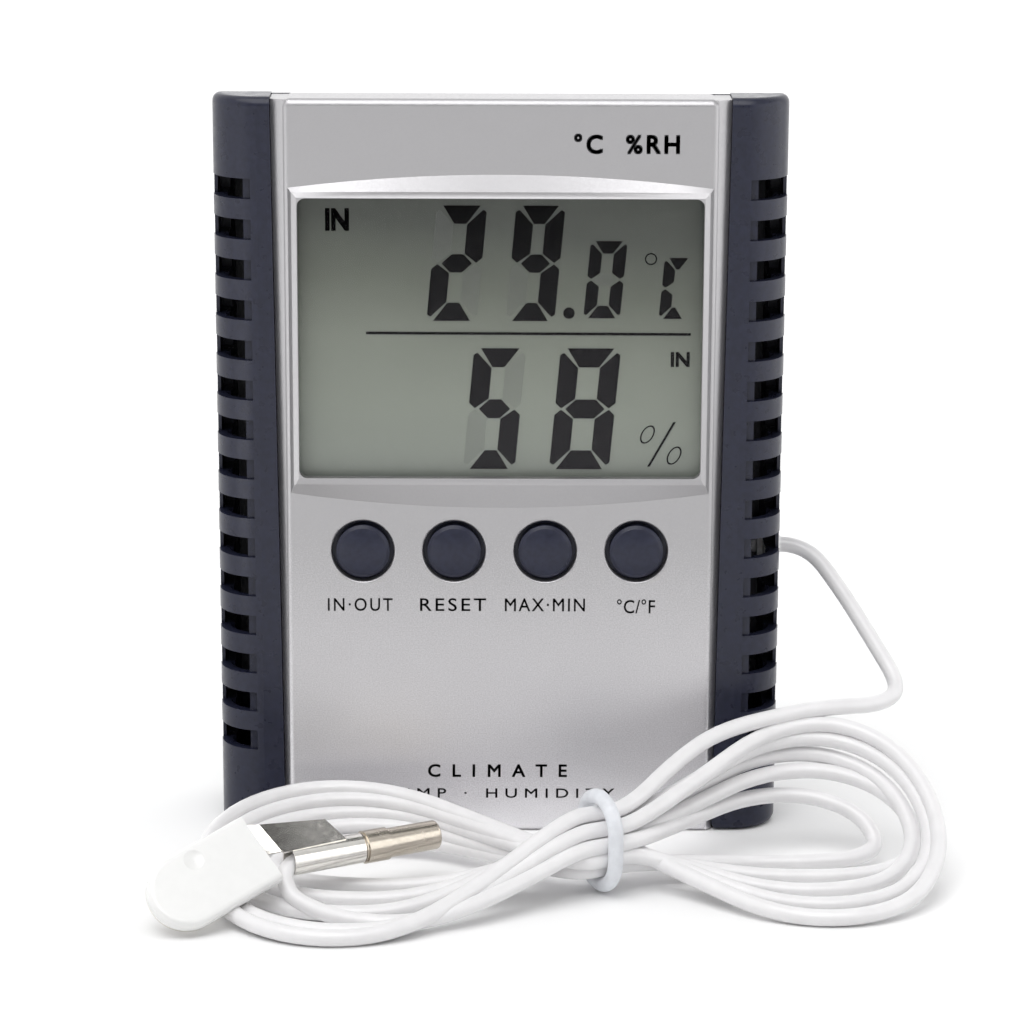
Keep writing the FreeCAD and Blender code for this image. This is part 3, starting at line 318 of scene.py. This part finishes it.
def silver_paint():
    """Fine silver paint, with a painted reflection of the bright floor that makes it a little lighter towards
    the foot of the panel.
    """
    finish = Finish("silver_paint", (0.50, 0.49, 0.505), 0.4, metallic=0.85, coat=0.1)
    grain = finish.noise(0.2, detail=3)
    # The rise up the panel, mixed into the ramp, is painted reflection: lighter at the foot, darker at the
    # top; the grain is the paint's own.
    rise = across_node(finish, "front_cover", "Z")
    finish.paint(finish.sum(grain, 0.35, rise), [
        (0.18, (0.76, 0.75, 0.77)), (0.36, (0.57, 0.56, 0.575)),
        (0.58, (0.375, 0.369, 0.378)), (1.0, (0.39, 0.384, 0.394)),
    ])
    finish.polish(finish.noise(0.35), 0.33, 0.45)
    return finish.emboss(grain, 0.16, 0.02).material


def slate_plastic(name="slate_plastic", low=0.013, high=0.018, roughness=(0.26, 0.34)):
    """Dark blue-grey moulded plastic with a fine, slightly rough skin."""
    finish = Finish(name, (0.016, 0.018, 0.036), 0.35, specular=0.32)
    finish.paint(finish.noise(0.8, detail=4), shade(low, high, (0.95, 1.08, 2.3)))
    finish.polish(finish.noise(1.6), *roughness)
    return finish.emboss(finish.noise(0.16, detail=2), 0.3, 0.015).material


def cord_vinyl():
    """Soft white vinyl with a faint waviness."""
    finish = Finish("cord_vinyl", (0.83, 0.82, 0.83), 0.34, coat=0.1)
    finish.paint(finish.noise(3.0, detail=3), shade(0.81, 0.85, (1.0, 0.99, 1.0)))
    finish.polish(finish.noise(1.2), 0.28, 0.42)
    return finish.emboss(finish.noise(0.5, detail=2), 0.12, 0.02).material


def plain_plastic(name, base, roughness, bump=0.12, mottle=0.05):
    """Moulded plastic with faint mottling and skin."""
    finish = Finish(name, base, roughness)
    brightest = max(base)
    tint = tuple(part / brightest for part in base)
    finish.paint(finish.noise(1.5, detail=3), shade(brightest * (1 - mottle), brightest * (1 + mottle), tint))
    finish.polish(finish.noise(0.9), roughness * 0.88, roughness * 1.12)
    return finish.emboss(finish.noise(0.3), bump, 0.015).material


def metal(name, base, roughness, grain=(1, 1, 1), relief=0.05):
    """Plated or spring metal with fine lines along the long axis of its grain."""
    finish = Finish(name, base, roughness, metallic=1.0)
    tint = tuple(part / max(base) for part in base)
    lines = finish.noise(0.6, detail=4, places=finish.stretched(grain))
    finish.paint(lines, shade(max(base) * 0.94, min(1.0, max(base) * 1.04), tint))
    finish.polish(finish.noise(0.8, detail=3), roughness * 0.75, roughness * 1.3)
    return finish.emboss(lines, relief, 0.01).material


def clear_lens():
    """Clear window with a faint grey veil of painted light that is stronger towards its foot."""
    finish = Finish("clear_lens", (0.30, 0.29, 0.31), 0.08, specular=0.15)
    finish.polish(finish.noise(4), 0.05, 0.1)
    # Alpha from 0.06 at the foot to 0 at the top: a grey veil of painted light over the display.
    finish.join(across_node(finish, "window_lens", "Z", (0.06, 0.0)), finish.shader.inputs["Alpha"])
    return finish.material


def display_glass_and_painted_shade():
    """Grey-green display with painted shade, darker towards the upper right."""
    finish = Finish("display_glass_and_painted_shade", (0.22, 0.235, 0.205), 0.35)
    # The rise and the slope across are painted shade: darker towards the top and the right. The noise is
    # faint random tone.
    rise = across_node(finish, "lcd_glass", "Z")
    across = across_node(finish, "lcd_glass", "X", (0, 0.12))
    painted_shade_and_mottle = finish.sum(finish.noise(16, detail=2), 0.10, finish.sum(rise, 1.0, across))
    finish.paint(painted_shade_and_mottle, [
        (0.05, (0.285, 0.315, 0.275)), (0.35, (0.262, 0.290, 0.242)), (0.56, (0.208, 0.230, 0.188)),
        (0.78, (0.112, 0.126, 0.098)), (1.0, (0.056, 0.063, 0.052)),
    ])
    return finish.emboss(finish.noise(0.2), 0.05, 0.01).material


def board_resist():
    """Green solder resist over copper."""
    finish = Finish("board_resist", (0.02, 0.12, 0.05), 0.35, coat=0.3)
    finish.paint(finish.noise(0.9, detail=1), [(0.45, (0.015, 0.10, 0.04)), (0.55, (0.03, 0.17, 0.07))])
    return finish.emboss(finish.noise(0.5), 0.2, 0.02).material


def display_ink():
    """The display's lit, nearly black segments."""
    finish = Finish("display_ink", (0.002, 0.002, 0.003), 0.6, specular=0.03)
    finish.paint(finish.noise(6), shade(0.002, 0.004, (1.0, 0.95, 1.05)))
    return finish.material


def display_ghost():
    """The display's unlit segments, only just seen."""
    finish = Finish("display_ghost", (0.22, 0.24, 0.235), 0.4)
    finish.paint(finish.noise(8), shade(0.20, 0.25, (0.98, 1.0, 1.0)))
    finish.set("Alpha", 0.08)
    return finish.material


SLATE = slate_plastic()
BUTTON_SLATE = slate_plastic("button_slate", 0.015, 0.020, (0.32, 0.40))
SILVER = silver_paint()
VINYL = cord_vinyl()
CHROME = metal("clip_chrome", (0.80, 0.78, 0.74), 0.13, (0.15, 1, 1))
WARM_METAL = metal("probe_metal", (0.56, 0.51, 0.44), 0.22, (0.15, 1, 1), 0.08)
STEEL = metal("spring_steel", (0.62, 0.62, 0.61), 0.32)
SCREW = metal("screw_steel", (0.36, 0.37, 0.39), 0.38)
SWITCH = plain_plastic("switch_black", (0.03, 0.03, 0.033), 0.45)
EPOXY = plain_plastic("bead_epoxy", (0.02, 0.018, 0.018), 0.25)
INK = plain_plastic("label_ink", (0.03, 0.03, 0.034), 0.5, 0.05)
DISPLAY_INK = display_ink()

FINISHES = {
    "front_cover": SILVER,
    "left_grille": SLATE,
    "right_grille": SLATE,
    "back_cover": SLATE,
    "battery_door": SLATE,
    "stand": SLATE,
    "window_lens": clear_lens(),
    "lcd_glass": display_glass_and_painted_shade(),
    "lcd_holder": plain_plastic("holder_white", (0.72, 0.73, 0.70), 0.5),
    "zebra_strip": plain_plastic("zebra_rubber", (0.09, 0.09, 0.10), 0.7),
    "main_pcb": board_resist(),
    "main_chip": EPOXY,
    "crystal": STEEL,
    "humidity_sensor": plain_plastic("sensor_blue", (0.35, 0.52, 0.66), 0.5),
    "inner_thermistor": EPOXY,
    "key_switches": SWITCH,
    "battery": plain_plastic("cell_sleeve", (0.03, 0.05, 0.12), 0.25),
    "battery_contact": STEEL,
    "battery_spring": STEEL,
    "case_screws": SCREW,
    "pcb_screws": SCREW,
    "cable_grommet": VINYL,
    "cable_inner": VINYL,
    "tie_ring": plain_plastic("tie_plastic", (0.76, 0.78, 0.82), 0.35),
    "probe_capsule": WARM_METAL,
    "probe_collar": WARM_METAL,
    "probe_plug": EPOXY,
    "probe_thermistor": EPOXY,
    "clip_base": CHROME,
    "clip_jaw": CHROME,
    "clip_pin": CHROME,
    "clip_spring": STEEL,
    "clip_cover": plain_plastic("clip_white", (0.88, 0.88, 0.87), 0.24, 0.03, 0.01),
}
BUTTON_NAMES = ("in_out", "reset", "max_min", "c_f")
for title in BUTTON_NAMES:
    FINISHES["button_" + title] = BUTTON_SLATE
    FINISHES["plunger_" + title] = SWITCH
for name, material in FINISHES.items():
    for holder in NODES[name].material_slots:
        holder.material = material
cord.data.materials.append(VINYL)


# ---------------------------------------------------------------- thin pieces on the front
def mesh_piece(name, body, vertices, faces, material):
    """A mesh that rides on a body."""
    data = bpy.data.meshes.new(name)
    data.from_pydata([tuple(vertex) for vertex in vertices], [], faces)
    data.update()
    data.materials.append(material)
    piece = bpy.data.objects.new(name, data)
    scene.collection.objects.link(piece)
    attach(piece, body)


class Plates:
    """Flat outlines in X and Z, in millimetres, raised a little from one level in Y."""

    def __init__(self, level, thick):
        self.level, self.thick = level, thick
        self.vertices, self.faces = [], []

    def outline(self, points):
        """One convex outline."""
        start, count = len(self.vertices), len(points)
        for depth in (self.level - self.thick, self.level):
            self.vertices += [mm(x, depth, z) for x, z in points]
        self.faces.append(tuple(range(start, start + count)))
        self.faces.append(tuple(reversed(range(start + count, start + 2 * count))))
        for index in range(count):
            after = (index + 1) % count
            self.faces.append((start + index, start + count + index, start + count + after, start + after))

    def ring(self, centre, radii, width, lean=0.0, steps=36):
        """An oval ring, as short blocks; lean moves it sideways with height."""
        for index in range(steps):
            corners = []
            for turn, inset in ((index, 0), (index + 1, 0), (index + 1, width), (index, width)):
                angle = 2 * math.pi * turn / steps
                across = (radii[0] - inset) * math.cos(angle)
                rise = (radii[1] - inset) * math.sin(angle)
                corners.append((centre[0] + across + lean * rise, centre[1] + rise))
            self.outline(corners)

    def disc(self, centre, radius, steps=24):
        """A round dot."""
        turns = [2 * math.pi * index / steps for index in range(steps)]
        self.outline([(centre[0] + radius * math.cos(a), centre[1] + radius * math.sin(a)) for a in turns])

    def piece(self, name, body, material, slot):
        """All the outlines so far, as one piece."""
        mesh_piece(name, body, self.vertices, self.faces, material)


SEGMENTS = {
    "2": "abged", "9": "abcdfg", "0": "abcdef", "5": "acdfg", "8": "abcdefg", "C": "adef",
}


def segment_outlines(width, height, stroke, gap):
    """The seven segments of an upright digit, from its lower left corner."""
    middle, half, corner = height / 2, stroke / 2, stroke * 0.32
    inner_low, inner_high = stroke + gap, height - stroke - gap
    right = width - stroke
    return {
        "a": [(corner + gap, height), (width - corner - gap, height), (right - gap, height - stroke),
              (stroke + gap, height - stroke)],
        "d": [(corner + gap, 0), (stroke + gap, stroke), (right - gap, stroke), (width - corner - gap, 0)],
        "f": [(0, height - corner - gap), (corner * 0.6, height - corner * 0.6 - gap), (stroke, inner_high),
              (stroke, middle + half + gap), (corner, middle + gap), (0, middle + corner)],
        "b": [(width, height - corner - gap), (width, middle + corner), (width - corner, middle + gap),
              (right, middle + half + gap), (right, inner_high),
              (width - corner * 0.6, height - corner * 0.6 - gap)],
        "e": [(0, corner + gap), (0, middle - corner), (corner, middle - gap), (stroke, middle - half - gap),
              (stroke, inner_low), (corner * 0.6, corner * 0.6 + gap)],
        "c": [(width, corner + gap), (width - corner * 0.6, corner * 0.6 + gap), (right, inner_low),
              (right, middle - half - gap), (width - corner, middle - gap), (width, middle - corner)],
        "g": [(half + gap, middle), (stroke + gap, middle + half), (right - gap, middle + half),
              (width - half - gap, middle), (right - gap, middle - half), (stroke + gap, middle - half)],
    }


GLASS_LEVEL = -9.215
PANEL_LEVEL = -11.002
INK_THICK = 0.03
INK_LEVEL = GLASS_LEVEL - INK_THICK
DIGIT_LEAN = 0.09
SEGMENT_GAP = 0.11
# Each digit: the character, its lower left corner, width, height and stroke.
DIGITS = [
    ("2", (-10.9, 78.6), 7.4, 17.15, 2.7),
    ("9", (0.75, 78.6), 7.2, 17.15, 2.7),
    ("0", (12.2, 79.05), 5.4, 11.5, 1.85),
    ("C", (23.3, 78.98), 4.1, 9.1, 1.7),
    ("5", (-5.5, 56.2), 7.7, 18.3, 2.85),
    ("8", (7.3, 56.2), 8.9, 18.3, 2.85),
]
DIVIDER = [(-19.8, 76.55), (28.1, 76.45), (28.1, 76.85), (-19.8, 76.95)]
PERCENT_STROKE = [(21.9, 56.6), (22.3, 56.6), (26.1, 63.4), (25.7, 63.4)]
PERCENT_RINGS = [(21.9, 61.5), (25.9, 58.3)]


def display_characters():
    """The two readings, their signs and the line between them."""
    lit = Plates(INK_LEVEL, INK_THICK)
    unlit = Plates(GLASS_LEVEL, INK_THICK / 2)
    for character, (left, low), width, height, stroke in DIGITS:
        for name, points in segment_outlines(width, height, stroke, SEGMENT_GAP).items():
            placed = [(left + x + DIGIT_LEAN * z, low + z) for x, z in points]
            if name in SEGMENTS[character]:
                lit.outline(placed)
            elif character != "C":
                unlit.outline(placed)
    lit.disc((10.1, 79.8), 0.85)
    lit.ring((22.08, 87.9), (0.9, 0.9), 0.2)
    lit.outline(DIVIDER)
    lit.outline(PERCENT_STROKE)
    for centre in PERCENT_RINGS:
        lit.ring(centre, (1.0, 1.4), 0.22, 0.35)
    lit.piece("display_lit", "case", DISPLAY_INK, "lcd_glass")
    unlit.piece("display_unlit", "case", display_ghost(), "lcd_glass")


def letter_mesh(words, tracking):
    """Flat letters from the built-in face: their corners as shares of their own box, and their faces."""
    data = bpy.data.curves.new("letters", "FONT")
    data.body = words
    data.space_character = tracking
    data.extrude = 0.01
    data.resolution_u = 4
    maker = bpy.data.objects.new("letters", data)
    scene.collection.objects.link(maker)
    bpy.context.view_layer.update()
    mesh = bpy.data.meshes.new_from_object(maker)
    bpy.data.objects.remove(maker)
    low = [min(vertex.co[axis] for vertex in mesh.vertices) for axis in range(3)]
    high = [max(vertex.co[axis] for vertex in mesh.vertices) for axis in range(3)]
    shares = [
        [(vertex.co[axis] - low[axis]) / (high[axis] - low[axis]) for axis in range(3)]
        for vertex in mesh.vertices
    ]
    return shares, [tuple(face.vertices) for face in mesh.polygons]


def lettering(name, words, box_mm, level, material, tracking=1.0, weight=0.0):
    """Letters stretched to fill a box in X and Z, and thickened by copies moved half the weight each way."""
    left, right, low, high = box_mm
    reach = weight / 2
    sides = (-reach, reach) if weight else ()
    moves = [(across, up) for across in sides for up in sides] + [(0, 0)]
    shares, faces = letter_mesh(words, tracking)
    vertices, all_faces = [], []
    for across, up in moves:
        start = len(vertices)
        for share in shares:
            vertices.append(mm(
                left + reach + share[0] * (right - left - weight) + across,
                level - INK_THICK * share[2],
                low + reach + share[1] * (high - low - weight) + up,
            ))
        all_faces += [tuple(start + corner for corner in face) for face in faces]
    mesh_piece(name, "case", vertices, all_faces, material)


# Each label: its name, words, box, tracking and added weight.
LABELS = [
    ("label_in_out", "IN·OUT", (-25.7, -16.0, 34.7, 36.7), 1.25, 0.03),
    ("label_reset", "RESET", (-11.9, -2.0, 34.7, 36.7), 1.25, 0.03),
    ("label_max_min", "MAX·MIN", (0.8, 12.8, 34.7, 36.7), 1.2, 0.03),
    ("label_c_f", "°C/°F", (17.6, 23.3, 34.4, 36.6), 1.05, 0.03),
    ("label_first_line", "CLIMATE", (-10.75, 10.3, 8.6, 10.65), 2.1, 0.1),
    ("label_second_line", "TEMP · HUMIDITY", (-17.5, 17.5, 5.3, 6.8), 1.6, 0.03),
    ("label_corner", "°C  %RH", (10.6, 26.0, 103.6, 106.6), 1.25, 0.24),
]
# Where the display says that the reading is indoors: its name, box and added weight.
DISPLAY_WORDS = [
    ("display_in_upper", (-25.7, -22.2, 91.95, 95.3), 0.32),
    ("display_in_lower", (25.2, 28.0, 71.75, 74.0), 0.2),
]


def front_lettering():
    """The panel's labels and the display's two small words."""
    for name, words, area, tracking, weight in LABELS:
        lettering(name, words, area, PANEL_LEVEL, INK, tracking, weight)
    for name, area, weight in DISPLAY_WORDS:
        lettering(name, "IN", area, INK_LEVEL, DISPLAY_INK, 1.0, weight)


display_characters()
front_lettering()


# ---------------------------------------------------------------- stage
FLOOR_SIZE = 60
CARD_GLOW = 4.0


def add_square(name, size, material):
    """A flat square of the stage, facing up."""
    half = size / 2
    data = bpy.data.meshes.new(name)
    corners = [(-half, -half, 0), (half, -half, 0), (half, half, 0), (-half, half, 0)]
    data.from_pydata(corners, [], [(0, 1, 2, 3)])
    data.materials.append(material)
    square = bpy.data.objects.new(name, data)
    scene.collection.objects.link(square)
    return square


def add_floor():
    """A plain, nearly white floor."""
    finish = Finish("floor_white", (0.93, 0.93, 0.93), 0.9, specular=0.1)
    finish.paint(finish.noise(60), shade(0.925, 0.935))
    add_square("floor", FLOOR_SIZE, finish.material)


def add_sun(name, direction, strength, softness):
    """A soft light from far away, its softness in degrees."""
    data = bpy.data.lights.new(name, "SUN")
    data.energy = strength
    data.angle = math.radians(softness)
    lamp = bpy.data.objects.new(name, data)
    lamp.rotation_euler = Vector(direction).to_track_quat("-Z", "Y").to_euler()
    scene.collection.objects.link(lamp)


def add_card(name, centre, facing, size, glow):
    """A card that only shows in reflections, with one glow or stops of it from its foot to its top."""
    finish = Finish(name, 0.0, 1.0, specular=0.0)
    glows = glow if isinstance(glow, list) else [(0.0, glow), (1.0, glow)]
    stops = [(place, level / CARD_GLOW) for place, level in glows]
    rise = finish.along("Y", (-size / 2, size / 2))
    finish.join(finish.ramp(rise, stops), finish.shader.inputs["Emission Color"])
    finish.set("Emission Strength", CARD_GLOW)
    card = add_square(name, size, finish.material)
    card.location = centre
    card.rotation_euler = Vector(facing).to_track_quat("Z", "Y").to_euler()
    card.visible_camera = False
    card.visible_diffuse = False
    card.visible_shadow = False
    card.visible_transmission = False


# Where along Y, as a share of a direction's length, the surroundings go from front to back.
WORLD_GRADE = (-0.9, 0.4)


def add_world(front, back):
    """White surroundings, dimmer on the camera's side than behind the object."""
    world = bpy.data.worlds.new("studio")
    world.use_nodes = True
    tree = world.node_tree
    places = tree.nodes.new("ShaderNodeTexCoord")
    parts = tree.nodes.new("ShaderNodeSeparateXYZ")
    share = tree.nodes.new("ShaderNodeMapRange")
    limits = zip(("From Min", "From Max", "To Min", "To Max"), (*WORLD_GRADE, front, back))
    for socket, limit in limits:
        share.inputs[socket].default_value = limit
    background = tree.nodes["Background"]
    tree.links.new(places.outputs["Generated"], parts.inputs["Vector"])
    tree.links.new(parts.outputs["Y"], share.inputs["Value"])
    tree.links.new(share.outputs["Result"], background.inputs["Color"])
    background.inputs["Strength"].default_value = 1
    scene.world = world


# Each card: its name, middle, the way it faces, its size, and its glow, or its glow from foot to top.
CARDS = [
    ("plate_card", (0.156, 0.052, 0.466), (-0.34, -0.27, -0.9), 0.12,
     [(0.0, 0.0), (0.40, 0.0), (0.46, 1.7), (0.50, 0.0), (1.0, 0.0)]),
    ("front_card", (0.0, -0.60, 0.78), (0.0, 0.6, -0.65), 0.64, 3.6),
    ("right_card", (0.42, -0.36, 0.23), (-0.75, 0.65, -0.1), 0.44, 1.6),
    ("left_side_card", (-0.28, -0.12, 0.10), (1.0, 0.2, 0.0), 0.44, 1.3),
    ("left_floor_card", (-0.25, -0.19, 0.002), (0.0, 0.0, 1.0), 0.2, 4.0),
    ("right_side_card", (0.28, -0.06, 0.10), (-1.0, 0.1, 0.0), 0.36, 1.9),
    ("floor_card", (-0.06, -0.24, 0.002), (0.0, 0.0, 1.0), 0.3, 1.4),
    ("back_card", (0.0, 0.60, 0.24), (0.0, -1.0, 0.0), 0.4, 1.7),
]

add_floor()
add_world(0.34, 1.05)
add_sun("sun_high", (0.25, 0.35, -1.0), 1.45, 50)
for card in CARDS:
    add_card(*card)
scene.view_settings.view_transform = "Standard"
